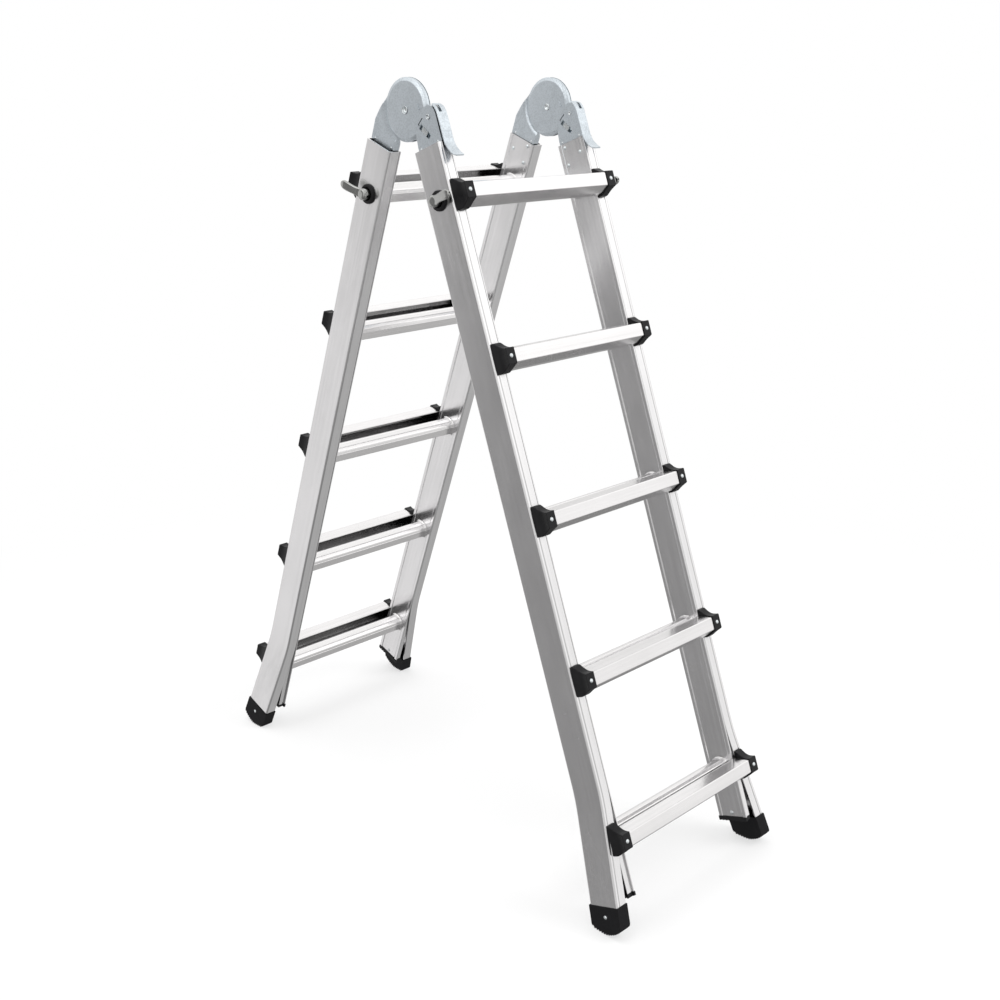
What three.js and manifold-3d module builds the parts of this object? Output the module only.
// Multi position ladder: two telescoping ladders joined at the top by a pair of locking hinges,
// standing open as an A-frame. Units are millimetres.
// +Z is up, X runs along the rungs, and the front ladder stands on the -Y side.
// The origin is on the ground, midway between the four feet.
//
// Each ladder is drawn in its own frame, which starts on the hinge axis:
//   x     along the rungs; parts are drawn on the +x side, where outboard is +x
//   out   square to the ladder's face, away from the inside of the A-frame
//   down  down the rails from the hinge axis; the mesh's z is -down
import * as THREE from 'three';
import { mergeVertices } from 'three/addons/utils/BufferGeometryUtils.js';
import Module from 'manifold-3d';

const wasm = await Module();
wasm.setup();

// ---------------------------------------------------------------- shared dimensions
const LEAN = THREE.MathUtils.degToRad(20.16); // lean of each ladder from the vertical
const HINGE_Z = 1465.0;          // height of the hinge axis above the ground

const RUNGS = 5;                 // rungs in each of the four frames
const RUNG_PITCH = 304.8;        // rung spacing, 12 in
const FIRST_RUNG = 182.0;        // down to the top rung
const rungDown = (k) => FIRST_RUNG + k * RUNG_PITCH;

const RAIL_TOP = 84.0;           // down to the upper ends of all the rails
const RAIL_IN = 6.5;             // rail face on the inside of the A-frame
const RAIL_OUT = 77.5;           // rail face on the climbing side
const RAIL_MID = (RAIL_IN + RAIL_OUT) / 2;

const INNER_X = 178.5;           // inboard face of the inner rail's web
const OUTER_X = 207.0;           // outboard face of the outer rail

const GAP = 0.3;                 // clearance between fitted parts
const OVERCUT = 3;               // how far a cutter runs past the face it opens

// ---------------------------------------------------------------- solids
const round = (value) => Math.round(value * 1e5) / 1e5;

function signedVolume(positions, indices) {
  let sixfold = 0;
  for (let i = 0; i < indices.length; i += 3) {
    const [first, second, third] = [0, 1, 2].map(
      (k) => new THREE.Vector3().fromArray(positions, indices[i + k] * 3));
    sixfold += first.dot(second.cross(third));
  }
  return sixfold / 6;
}

// Turns a closed BufferGeometry into a solid that can be joined and cut.
function solid(geometry) {
  const bare = geometry.clone();
  for (const name of Object.keys(bare.attributes)) {
    if (name !== 'position') bare.deleteAttribute(name);
  }
  const merged = mergeVertices(bare, 1e-4);
  const vertProperties = Float32Array.from(merged.attributes.position.array, round);
  const triVerts = Uint32Array.from(merged.index.array);
  // Inside-out triangles are turned over.
  if (signedVolume(vertProperties, triVerts) < 0) {
    for (let i = 0; i < triVerts.length; i += 3) {
      [triVerts[i + 1], triVerts[i + 2]] = [triVerts[i + 2], triVerts[i + 1]];
    }
  }
  return new wasm.Manifold(new wasm.Mesh({ numProp: 3, vertProperties, triVerts }));
}

function geometryOf(manifold) {
  const mesh = manifold.getMesh();
  const positions = Float32Array.from(mesh.vertProperties);
  const geometry = new THREE.BufferGeometry();
  geometry.setAttribute('position', new THREE.BufferAttribute(positions, 3));
  geometry.setIndex(new THREE.BufferAttribute(Uint32Array.from(mesh.triVerts), 1));
  geometry.computeVertexNormals();
  return geometry;
}

const join = (...pieces) => pieces.reduce((whole, piece) => whole.add(piece));

// Mirrors across the middle of the ladder.
function mirrored(manifold) {
  const geometry = geometryOf(manifold);
  geometry.applyMatrix4(new THREE.Matrix4().makeScale(-1, 1, 1));
  return solid(geometry);
}

// ---------------------------------------------------------------- outlines
const placed = (points, first, second) => points.map(([a, b]) => [first + a, second + b]);

const rectangle = (a0, a1, b0, b1) => [[a0, b0], [a1, b0], [a1, b1], [a0, b1]];

const circle = ([out, down], radius, count) => Array.from({ length: count }, (_, i) => {
  const angle = (i + 0.5) * 2 * Math.PI / count;
  return [out + radius * Math.cos(angle), down + radius * Math.sin(angle)];
});

// ---------------------------------------------------------------- sweeps
// An [out, down] outline swept along x.
function alongX(outline, x0, x1) {
  const shape = new THREE.Shape(outline.map(([out, down]) => new THREE.Vector2(out, -down)));
  const geometry = new THREE.ExtrudeGeometry(shape, {
    depth: x1 - x0, bevelEnabled: false, steps: 1,
  });
  geometry.applyMatrix4(new THREE.Matrix4().set(
    0, 0, 1, x0,
    1, 0, 0, 0,
    0, 1, 0, 0,
    0, 0, 0, 1,
  ));
  return solid(geometry);
}

const disc = (centre, radius, x0, x1, count) => alongX(circle(centre, radius, count), x0, x1);

// Stacked rings of equal point count, closed at both ends.
// capAxes are the two coordinates in which the ends are triangulated.
function loft(rings, capAxes) {
  const count = rings[0].length;
  const indices = [];
  for (let r = 0; r + 1 < rings.length; r++) {
    for (let i = 0; i < count; i++) {
      const j = (i + 1) % count;
      const near = r * count;
      const far = near + count;
      indices.push(near + i, near + j, far + j, near + i, far + j, far + i);
    }
  }
  const flat = rings[0].map((point) => new THREE.Vector2(...capAxes.map((axis) => point[axis])));
  const turn = Math.sign(THREE.ShapeUtils.area(flat));
  const last = (rings.length - 1) * count;
  for (const triangle of THREE.ShapeUtils.triangulateShape(flat, [])) {
    // The first end faces against the rings' turn, the last one with it.
    const same = Math.sign(THREE.ShapeUtils.area(triangle.map((i) => flat[i]))) === turn;
    const [i, j, k] = same ? triangle : [triangle[0], triangle[2], triangle[1]];
    indices.push(i, k, j, i + last, j + last, k + last);
  }
  const positions = Float32Array.from(rings.flat(2));
  const geometry = new THREE.BufferGeometry();
  geometry.setAttribute('position', new THREE.BufferAttribute(positions, 3));
  geometry.setIndex(indices);
  return solid(geometry);
}

// An [x, out] section swept down the rails, moved outboard by shift(down).
function downRail(section, stations, shift = () => 0) {
  const ringAt = (down) => section.map(([x, out]) => [x + shift(down), out, -down]);
  return loft(stations.map(ringAt), [0, 1]);
}

// An [out, down] outline whose two ends need not be flat: each end gives x at (out, down).
function betweenEnds(outline, ...ends) {
  const ringAt = (end) => outline.map(([out, down]) => [end(out, down), out, -down]);
  return loft(ends.map(ringAt), [1, 2]);
}

// A round part whose radius changes along x: stages are [x, radius].
function turned(centre, stages, count) {
  const ringAt = ([x, radius]) => circle(centre, radius, count)
    .map(([out, down]) => [x, out, -down]);
  return loft(stages.map(ringAt), [1, 2]);
}

// ---------------------------------------------------------------- materials
const standard = (settings) => new THREE.MeshStandardMaterial(settings);
const aluminium = () => standard({ color: 0xc9c8ca, roughness: 0.38, metalness: 0.9 });
const zinc = () => standard({ color: 0xa9b3b9, roughness: 0.42, metalness: 0.9 });
const brightSteel = () => standard({ color: 0xc9d0d3, roughness: 0.25, metalness: 1.0 });
const blackPlastic = () => standard({ color: 0x1b1b1d, roughness: 0.5, metalness: 0.0 });
const blackRubber = () => standard({ color: 0x141414, roughness: 0.75, metalness: 0.0 });

// ---------------------------------------------------------------- inner ladder
const INNER_WEB = 2.5;           // web thickness
const INNER_LIP = 3.0;           // full-depth lip along the web
const INNER_STEP = 3.7;          // the flanges are set in, to run inside the outer rail
const INNER_FLANGE = 2.5;        // flange thickness
const INNER_REACH = 195.0;       // outboard edge of the flanges
const INNER_CORNER = 0.8;        // corner chamfer
const INNER_END = 1510.0;        // lower end of the inner rails
const RUNG_BORE = 10.0;          // bore radius at a rung end, where a lock pin goes in

// Far and near faces of the two flanges; the channel lies between the near ones.
const FLANGE_IN = RAIL_IN + INNER_STEP;
const FLANGE_OUT = RAIL_OUT - INNER_STEP;
const CHANNEL_IN = FLANGE_IN + INNER_FLANGE;
const CHANNEL_OUT = FLANGE_OUT - INNER_FLANGE;

const INNER_SECTION = [ // x, out
  [INNER_X, RAIL_IN + INNER_CORNER], [INNER_X + INNER_CORNER, RAIL_IN],
  [INNER_X + INNER_LIP, RAIL_IN], [INNER_X + INNER_LIP, FLANGE_IN],
  [INNER_REACH, FLANGE_IN], [INNER_REACH, CHANNEL_IN],
  [INNER_X + INNER_WEB, CHANNEL_IN], [INNER_X + INNER_WEB, CHANNEL_OUT],
  [INNER_REACH, CHANNEL_OUT], [INNER_REACH, FLANGE_OUT],
  [INNER_X + INNER_LIP, FLANGE_OUT], [INNER_X + INNER_LIP, RAIL_OUT],
  [INNER_X + INNER_CORNER, RAIL_OUT], [INNER_X, RAIL_OUT - INNER_CORNER],
];

// D-shaped tube with a crowned tread, as [out, down] from the rung's centre.
const INNER_RUNG = [
  [-19, 12], [-16, 16], [16, 16], [19, 12], [19, -5], [16, -11.5], [9.5, -15.8],
  [0, -17.4], [-9.5, -15.8], [-16, -11.5], [-19, -5],
];
const INNER_RUNG_HOLLOW = [
  [-16.6, 11], [-14.8, 13.6], [14.8, 13.6], [16.6, 11], [16.6, -4.2], [14.2, -9.6], [8.4, -13.4],
  [0, -14.8], [-8.4, -13.4], [-14.2, -9.6], [-16.6, -4.2],
];

// Both inner rails and their rungs, in one piece.
function innerFrame() {
  const rungEnd = INNER_X + 1; // within the web
  const hollowEnd = INNER_X - 4;
  const boreEnd = INNER_X + OVERCUT;
  const rail = downRail(INNER_SECTION, [RAIL_TOP, INNER_END]);
  let frame = join(rail, mirrored(rail));
  for (let k = 0; k < RUNGS; k++) {
    const centre = [RAIL_MID, rungDown(k)];
    frame = frame
      .add(alongX(placed(INNER_RUNG, ...centre), -rungEnd, rungEnd))
      .subtract(alongX(placed(INNER_RUNG_HOLLOW, ...centre), -hollowEnd, hollowEnd))
      .subtract(disc(centre, RUNG_BORE, -boreEnd, boreEnd, 16));
  }
  return frame;
}

// End cap of an inner rail: a plug in the channel and a ribbed pad under it.
function innerCap() {
  const padInboard = INNER_X - 1.2;
  const padTop = INNER_END + GAP;
  const padBottom = INNER_END + 7;
  const ribs = 9;
  const ribPitch = (RAIL_OUT - RAIL_IN) / ribs;
  const ribWidth = ribPitch * 0.6;
  const edgeZone = 6; // ribs centred this near the rail's faces are short

  const plug = alongX(
    rectangle(CHANNEL_IN + GAP, CHANNEL_OUT - GAP, INNER_END - 26, INNER_END + 4),
    INNER_X + INNER_WEB + GAP, INNER_REACH - 1.5);
  const webPad = alongX(
    rectangle(RAIL_IN - 1.0, RAIL_OUT, padTop, padBottom), padInboard, INNER_X + INNER_LIP);
  const flangePad = alongX(
    rectangle(FLANGE_IN, FLANGE_OUT, padTop, padBottom), INNER_X, INNER_REACH);
  let cap = join(plug, webPad, flangePad);
  for (let i = 0; i < ribs; i++) {
    const middle = RAIL_IN + (i + 0.5) * ribPitch;
    const isLong = middle > RAIL_IN + edgeZone && middle < RAIL_OUT - edgeZone;
    const rib = rectangle(
      middle - ribWidth / 2, middle + ribWidth / 2, padBottom - 0.5, padBottom + 2.5);
    cap = cap.add(alongX(rib, padInboard, isLong ? INNER_REACH : INNER_X + INNER_LIP));
  }
  return cap;
}

// ---------------------------------------------------------------- outer rails and feet
const OUTER_EDGE = 182.0;        // inboard edge of the flanges
const OUTER_WALL = 3.0;
const OUTER_END = 1551.0;        // lower end of the outer rails, inside the feet
const OUTER_CORNER = 5.0;        // size of the eased outboard corners
const CORNER_MID = 1.6;          // inset of a corner's middle point
const GROOVE_X = OUTER_X - 12.3; // V groove along the outward face
const GROOVE_HALF = 0.8;         // its half width
const GROOVE_DEPTH = 1.1;
const FLARE_FROM = 1326.0;       // the outer rails bend outboard here
const FLARE_SLOPE = 0.131;       // tangent of the bend angle
const FLARE_BEND = 28.0;         // half length of the bend
const FLARE_STEPS = 4;
const FOOT_TOP = 1519.0;
const FOOT_WALL = 2.4;

const OUTER_SECTION = [ // x, out
  [OUTER_EDGE, RAIL_IN], [OUTER_X - OUTER_CORNER, RAIL_IN],
  [OUTER_X - CORNER_MID, RAIL_IN + CORNER_MID], [OUTER_X, RAIL_IN + OUTER_CORNER],
  [OUTER_X, RAIL_OUT - OUTER_CORNER], [OUTER_X - CORNER_MID, RAIL_OUT - CORNER_MID],
  [OUTER_X - OUTER_CORNER, RAIL_OUT],
  [GROOVE_X + GROOVE_HALF, RAIL_OUT], [GROOVE_X, RAIL_OUT - GROOVE_DEPTH],
  [GROOVE_X - GROOVE_HALF, RAIL_OUT],
  [OUTER_EDGE, RAIL_OUT], [OUTER_EDGE, RAIL_OUT - OUTER_WALL],
  [OUTER_X - OUTER_CORNER, RAIL_OUT - OUTER_WALL], [OUTER_X - OUTER_WALL, RAIL_OUT - OUTER_CORNER],
  [OUTER_X - OUTER_WALL, RAIL_IN + OUTER_CORNER], [OUTER_X - OUTER_CORNER, RAIL_IN + OUTER_WALL],
  [OUTER_EDGE, RAIL_IN + OUTER_WALL],
];

// How far the flare carries the rail outboard: straight, then a parabola, then straight.
function flareShift(down) {
  const bendStart = FLARE_FROM - FLARE_BEND;
  if (down <= bendStart) return 0;
  if (down >= FLARE_FROM + FLARE_BEND) return (down - FLARE_FROM) * FLARE_SLOPE;
  return FLARE_SLOPE * (down - bendStart) ** 2 / (4 * FLARE_BEND);
}

const LOCK_CENTRE = [RAIL_MID, FIRST_RUNG];
const LOCK_HOLE = 8.6;           // radius in the outer rail

function outerRail() {
  const stations = [RAIL_TOP];
  for (let i = 0; i <= FLARE_STEPS; i++) {
    stations.push(FLARE_FROM - FLARE_BEND + i * 2 * FLARE_BEND / FLARE_STEPS);
  }
  stations.push(OUTER_END);
  const lockHole = disc(
    LOCK_CENTRE, LOCK_HOLE, OUTER_X - OUTER_WALL - OVERCUT, OUTER_X + OVERCUT, 16);
  return downRail(OUTER_SECTION, stations, flareShift).subtract(lockHole);
}

// Rubber shoe around the end of an outer rail. Its ground facet is level in the A-frame.
function foot() {
  const groundPoint = (out) => [out, (HINGE_Z + out * Math.sin(LEAN)) / Math.cos(LEAN)];
  const inward = RAIL_IN - FOOT_WALL;
  const outward = RAIL_OUT + FOOT_WALL;
  const outline = [ // out, down
    [inward, FOOT_TOP], [outward, FOOT_TOP], [outward, 1559], [outward - 2, 1563.5],
    [outward - 7, 1567.6], [62, 1571.9], [50, 1574.0], [40, 1574.3],
    groundPoint(31), groundPoint(12), [inward + 2.4, 1560.5], [inward, 1556],
  ];
  const body = betweenEnds(
    outline,
    (out, down) => OUTER_EDGE - FOOT_WALL + flareShift(down),
    (out, down) => OUTER_X + FOOT_WALL + flareShift(down),
  );
  const pocket = downRail(
    rectangle(OUTER_EDGE - GAP, OUTER_X + GAP, RAIL_IN - GAP, RAIL_OUT + GAP),
    [FOOT_TOP - OVERCUT, OUTER_END + 1], flareShift);
  return body.subtract(pocket);
}

// ---------------------------------------------------------------- outer rungs and brackets
const TREAD_BACK = 78.3;         // face next to the rail
const TREAD_FRONT = 111.0;       // outward face
const TREAD_SLOPE = 0.15;        // the top rises towards the rail
const TREAD_WALL = 1.8;
const TREAD_END = 195.6;         // end of an outer rung, inside its bracket
const LOWEST_SHIFT = 8.4;        // the lowest rung's ends and brackets sit further outboard
const BRACKET_FRONT = 113.0;     // outward face
const BRACKET_IN = 180.0;        // inboard side
const BRACKET_OUT = 202.0;       // outboard side
const BRACKET_DISH = 3.2;        // depth of the hollow in the outboard side

const rungShift = (k) => (k === RUNGS - 1 ? LOWEST_SHIFT : 0);

// Point on a tread's top at the given out, measured from the rung.
const treadTop = (out) => [out, -13 - (TREAD_FRONT - out) * TREAD_SLOPE];

// Tread with a sloping top and an undercut lower face; grow widens it into a pocket.
function treadOutline(grow, back) {
  const front = TREAD_FRONT + grow;
  const [backOut, backDown] = treadTop(back);
  const [, frontDown] = treadTop(TREAD_FRONT - 1.2);
  return [
    [backOut, backDown - grow], [front - 1.2, frontDown - grow], [front, -11.8 - grow],
    [front, 12 + grow], [front - 1.0, 13.2 + grow],
    [91, 23 + grow], [81, 25.5 + grow], [back, 25.5 + grow],
  ];
}

// The tread is a channel, open towards the rail.
function treadHollow() {
  const back = TREAD_BACK - OVERCUT;
  const front = TREAD_FRONT - TREAD_WALL;
  return [
    ...placed([treadTop(back), treadTop(front)], 0, TREAD_WALL),
    [front, 11.6], [90.4, 21.1], [81, 23.6], [back, 23.6],
  ];
}

function outerRung(k) {
  const end = TREAD_END + rungShift(k);
  const cutEnd = end + OVERCUT;
  return alongX(placed(treadOutline(0, TREAD_BACK), 0, rungDown(k)), -end, end)
    .subtract(alongX(placed(treadHollow(), 0, rungDown(k)), -cutEnd, cutEnd));
}

const BRACKET_OUTLINE = [ // out, down from the rung
  [RAIL_OUT + GAP, -29.5], [80.5, -29.5], [85, -26.6], [91, -21.8], [98, -17.8], [104, -16.0],
  [BRACKET_FRONT - 1, -15.2], [BRACKET_FRONT, -14.2], [BRACKET_FRONT, 14],
  [BRACKET_FRONT - 1, 15.2], [97, 24.4], [88.5, 28.6], [RAIL_OUT + GAP, 28.8],
];

// Plastic bracket that caps a rung's end and carries it on the rail's flange.
function bracket(k) {
  const down = rungDown(k);
  const shift = rungShift(k);
  // The outboard side is dished between the rail and the outward face.
  const dishedSide = (out) => {
    const across = THREE.MathUtils.clamp((out - RAIL_OUT) / (BRACKET_FRONT - RAIL_OUT), 0, 1);
    return BRACKET_OUT + shift - BRACKET_DISH * Math.sin(Math.PI * across);
  };
  const body = betweenEnds(
    placed(BRACKET_OUTLINE, 0, down), () => BRACKET_IN + shift, dishedSide);
  const pocket = alongX(
    placed(treadOutline(GAP, RAIL_OUT - OVERCUT), 0, down),
    BRACKET_IN + shift - OVERCUT, TREAD_END + shift + GAP);
  return body.subtract(pocket);
}

// ---------------------------------------------------------------- rung locks
const LOCK_HALF = 8.5;           // half width of the lever arm, and radius of its tip
const LOCK_TIP_OUT = 90;         // out of the tip's centre
const LOCK_TIP_X = [OUTER_X + 20.5, OUTER_X + 25.5];

const LOCK_ARM = [ // x from the rail's outboard face, out
  [13.5, 30], [13.5, 52], [17.5, 66], [20.5, LOCK_TIP_OUT],
  [25.5, LOCK_TIP_OUT], [24.0, 64], [19.5, 50], [19.5, 30],
];

// A pin that slides through the outer rail towards a rung's bore, with its hub and finger lever.
function lockPin() {
  const pinTip = INNER_X + INNER_WEB + 1.2;
  const pin = turned(LOCK_CENTRE, [[pinTip, 6.5], [pinTip + 2.2, 8.0], [OUTER_X + 1.5, 8.0]], 16);
  const hub = turned(
    LOCK_CENTRE, [[OUTER_X + 1.2, 11.0], [OUTER_X + 17, 11.0], [OUTER_X + 19, 9.5]], 16);
  const arm = downRail(
    placed(LOCK_ARM, OUTER_X, 0), [FIRST_RUNG - LOCK_HALF, FIRST_RUNG + LOCK_HALF]);
  const tip = disc([LOCK_TIP_OUT, FIRST_RUNG], LOCK_HALF, ...LOCK_TIP_X, 16);
  return join(pin, hub, arm, tip);
}

// ---------------------------------------------------------------- hinges
// Faces along x, from inboard to outboard.
const HINGE_IN = 181.3;          // inboard face of the hinge
const COVER_IN = 185.0;          // outboard side of the inboard cover
const RATCHET_IN = 185.4;        // ratchet disc
const RATCHET_OUT = 192.8;
const COVER_OUT = 193.2;         // inboard side of the outboard cover
const HINGE_OUT = 197.2;         // outboard face of the hinge

const DISC_FACE = 51.5;          // flat face radius of the outboard cover
const DISC_RIM = 57.5;           // rim radius of the covers
const RATCHET_RADIUS = 57.0;
const CLEAR_RADIUS = 58.4;       // the rear leaf's thick part starts outside this radius
const PIVOT_RADIUS = 6.0;
const LEVER_PIN_RADIUS = 3.0;

const LEAF_IN = 10;              // cheeks of the leaves, over the rail tops
const LEAF_OUT = RAIL_OUT - 0.5;
const LEAF_END = RAIL_TOP - 0.5;

const PIVOT = [0, 0];            // out, down
const LEVER_PIN = [55.7, 32.2];  // out, down
const SLOT_DIRECTION = [0.585, 0.811]; // the bolt slot runs this way from the pivot
const SLOT_AT = 66.4;            // middle of the slot, from the pivot
const SLOT_LENGTH = 32.4;
const SLOT_WIDTH = 10.2;
const BOLT_AT = 65.9;            // bolt centre from the pivot, just clear of the ratchet disc
const BOLT_LENGTH = 17.0;
const BOLT_WIDTH = 9.4;
const BOLT_CHAMFER = 1.4;

// Lays [distance from the pivot, sideways] points out along the slot's direction.
function alongSlot(points) {
  const [dirOut, dirDown] = SLOT_DIRECTION;
  return points.map(([distance, sideways]) => [
    distance * dirOut - sideways * dirDown,
    distance * dirDown + sideways * dirOut,
  ]);
}

// A cutter for a round hole right through the hinge.
const hingeHole = (centre, radius, count) => (
  disc(centre, radius, HINGE_IN - OVERCUT, HINGE_OUT + OVERCUT, count));

// Tongue that goes down into the inner rail's channel.
const tang = () => alongX(rectangle(16.5, 67.5, RAIL_TOP - 2, 140), HINGE_IN, HINGE_OUT);

// Domed disc with a cheek down to the rail and a lug around the lever pin.
function coverPlate(x0, x1, domeStages) {
  const cheek = [[LEAF_IN, 40], [LEAF_IN, LEAF_END], [LEAF_OUT, LEAF_END], [LEAF_OUT, 33]];
  return join(
    turned(PIVOT, domeStages, 40),
    alongX(cheek, x0, x1),
    disc([LEVER_PIN[0] + 1.0, LEVER_PIN[1]], 19.8, x0, x1, 28),
  );
}

// The front leaf: two cover plates, joined by a block at their lower ends.
function frontLeaf() {
  const outboardCover = coverPlate(COVER_OUT, HINGE_OUT, [
    [COVER_OUT, DISC_RIM], [COVER_OUT + 1.0, DISC_RIM], [HINGE_OUT, DISC_FACE],
  ]);
  const inboardCover = coverPlate(HINGE_IN, COVER_IN, [
    [HINGE_IN, DISC_FACE + 1.5], [COVER_IN - 1.0, DISC_RIM], [COVER_IN, DISC_RIM],
  ]);
  const block = alongX(rectangle(LEAF_IN, LEAF_OUT, 75, LEAF_END), HINGE_IN, HINGE_OUT);
  const slot = alongSlot(rectangle(
    SLOT_AT - SLOT_LENGTH / 2, SLOT_AT + SLOT_LENGTH / 2, -SLOT_WIDTH / 2, SLOT_WIDTH / 2));
  return join(outboardCover, inboardCover, block, tang())
    .subtract(alongX(slot, HINGE_IN - OVERCUT, HINGE_OUT + OVERCUT))
    .subtract(hingeHole(PIVOT, PIVOT_RADIUS + GAP, 20))
    .subtract(hingeHole(LEVER_PIN, LEVER_PIN_RADIUS + GAP, 12));
}

// The rear leaf: a ratchet disc between the covers, thickened outside their rims.
function rearLeaf() {
  const outline = [ // out, down
    [LEAF_IN, 30], [LEAF_IN, LEAF_END], [LEAF_OUT, LEAF_END], [LEAF_OUT, 46],
    [71, 27], [50.6, -26.0], [30, -20], [20, 0],
  ];
  const plate = join(
    alongX(outline, RATCHET_IN, RATCHET_OUT),
    disc(PIVOT, RATCHET_RADIUS, RATCHET_IN, RATCHET_OUT, 48),
  );
  const thickPart = alongX(outline, HINGE_IN + 0.4, HINGE_OUT - 1.2)
    .subtract(hingeHole(PIVOT, CLEAR_RADIUS, 48));
  return join(plate, thickPart, tang()).subtract(hingeHole(PIVOT, PIVOT_RADIUS + GAP, 20));
}

// A pin through the hinge with a head at each end: heads are [x beyond the hinge face, radius],
// and the shank meets them in a near-square step.
function headedPin(centre, radius, inboardHead, outboardHead, count) {
  const step = 0.001;
  return turned(centre, [
    ...inboardHead.map(([beyond, headRadius]) => [HINGE_IN - beyond, headRadius]),
    [HINGE_IN - GAP + step, radius],
    [HINGE_OUT + GAP - step, radius],
    ...outboardHead.map(([beyond, headRadius]) => [HINGE_OUT + beyond, headRadius]),
  ], count);
}

const pivotPin = () => headedPin(
  PIVOT, PIVOT_RADIUS,
  [[1.8, 5.2], [1.0, 7.4], [GAP, 7.4]],
  [[GAP, 8.6], [1.0, 8.6], [1.8, 6.6]], 20);

const leverPin = () => headedPin(
  LEVER_PIN, LEVER_PIN_RADIUS,
  [[1.2, 3.0], [0.8, 4.2], [GAP, 4.2]],
  [[GAP, 4.4], [0.9, 4.4], [1.4, 3.0]], 12);

// Bar through the slot, with chamfered edges.
function lockBolt() {
  const endways = BOLT_LENGTH / 2;
  const sideways = BOLT_WIDTH / 2;
  const shortEnd = endways - BOLT_CHAMFER;
  const shortSide = sideways - BOLT_CHAMFER;
  const outline = [
    [-endways, -shortSide], [-shortEnd, -sideways], [shortEnd, -sideways], [endways, -shortSide],
    [endways, shortSide], [shortEnd, sideways], [-shortEnd, sideways], [-endways, shortSide],
  ];
  return alongX(alongSlot(placed(outline, BOLT_AT, 0)), HINGE_IN - 0.6, HINGE_OUT + 0.6);
}

// Gives an open line a thickness, half to each side.
function thickened(line, thickness) {
  const left = [];
  const right = [];
  line.forEach(([out, down], i) => {
    const before = line[Math.max(0, i - 1)];
    const after = line[Math.min(line.length - 1, i + 1)];
    const runOut = after[0] - before[0];
    const runDown = after[1] - before[1];
    const scale = thickness / 2 / Math.hypot(runOut, runDown);
    left.push([out + runDown * scale, down - runOut * scale]);
    right.unshift([out - runDown * scale, down + runOut * scale]);
  });
  return [...left, ...right];
}

const LEVER_THICKNESS = 2.4;
const LEVER_LINE = [ // out, down along the middle of the plate
  [70.5, 13.5], [76.5, 20], [79.9, 29], [80.9, 40], [81.2, 60], [81.4, 80],
  [82.6, 90], [85.6, 99], [90.2, 107], [96.4, 113.5], [102, 117.5],
];
const LEVER_EAR_LOWER = [[55.0, 38.3], [60, 40], [80, 46], [80.6, 62], [74, 60], [62, 48]];
const LEVER_EAR_UPPER = [[56, 37.5], [52, 27.4], [60, 27.8], [70, 37], [80.5, 44], [80.5, 50]];

// Release lever: a plate down the outward side of the hinge, with a central ear on its pin.
function lever() {
  const earX = [RATCHET_IN + 0.4, RATCHET_OUT - 0.4];
  const headSlot = alongX(rectangle(60, 90, 16, 33), 183.5, 191.5);
  const plate = alongX(thickened(LEVER_LINE, LEVER_THICKNESS), 172.5, HINGE_OUT + 0.3)
    .subtract(headSlot);
  const ear = join(
    alongX(LEVER_EAR_LOWER, ...earX),
    disc(LEVER_PIN, 6.2, ...earX, 16),
    alongX(LEVER_EAR_UPPER, ...earX),
  );
  return join(plate, ear).subtract(hingeHole(LEVER_PIN, LEVER_PIN_RADIUS + GAP, 12));
}

// ---------------------------------------------------------------- assembly
function add(group, name, manifold, material) {
  const mesh = new THREE.Mesh(geometryOf(manifold), material);
  mesh.name = name;
  group.add(mesh);
}

// Left is -X. The front ladder is turned round, so its own +1 side is on the left.
const sideName = (end, side) => ((end === 'front') === (side > 0) ? 'left' : 'right');

const frameSolid = innerFrame();
const leaves = { front: frontLeaf(), rear: rearLeaf() };
const ladder = new THREE.Group();

for (const end of ['front', 'rear']) {
  const frame = new THREE.Group();
  frame.position.set(0, 0, HINGE_Z);
  frame.rotation.set(LEAN, 0, end === 'front' ? Math.PI : 0, 'ZXY');
  ladder.add(frame);

  const inner = new THREE.Group();
  const outer = new THREE.Group();
  frame.add(inner, outer);
  add(inner, `${end}_inner_frame`, frameSolid, aluminium());
  for (let k = 0; k < RUNGS; k++) {
    add(outer, `${end}_outer_rung_${k + 1}`, outerRung(k), aluminium());
  }
  for (const side of [1, -1]) {
    const put = (group, name, manifold, material) => {
      const handed = side > 0 ? manifold : mirrored(manifold);
      add(group, `${name}_${sideName(end, side)}`, handed, material);
    };
    put(inner, `${end}_inner_cap`, innerCap(), blackPlastic());
    put(inner, `hinge_${end}_leaf`, leaves[end], zinc());
    put(outer, `${end}_outer_rail`, outerRail(), aluminium());
    put(outer, `${end}_foot`, foot(), blackRubber());
    put(outer, `${end}_lock_pin`, lockPin(), brightSteel());
    for (let k = 0; k < RUNGS; k++) {
      put(outer, `${end}_bracket_${k + 1}`, bracket(k), blackPlastic());
    }
    if (end === 'front') {
      put(inner, 'hinge_pivot', pivotPin(), brightSteel());
      put(inner, 'hinge_lever', lever(), zinc());
      put(inner, 'hinge_lever_pin', leverPin(), brightSteel());
      put(inner, 'hinge_lock_bolt', lockBolt(), brightSteel());
    }
  }
}

export default ladder;
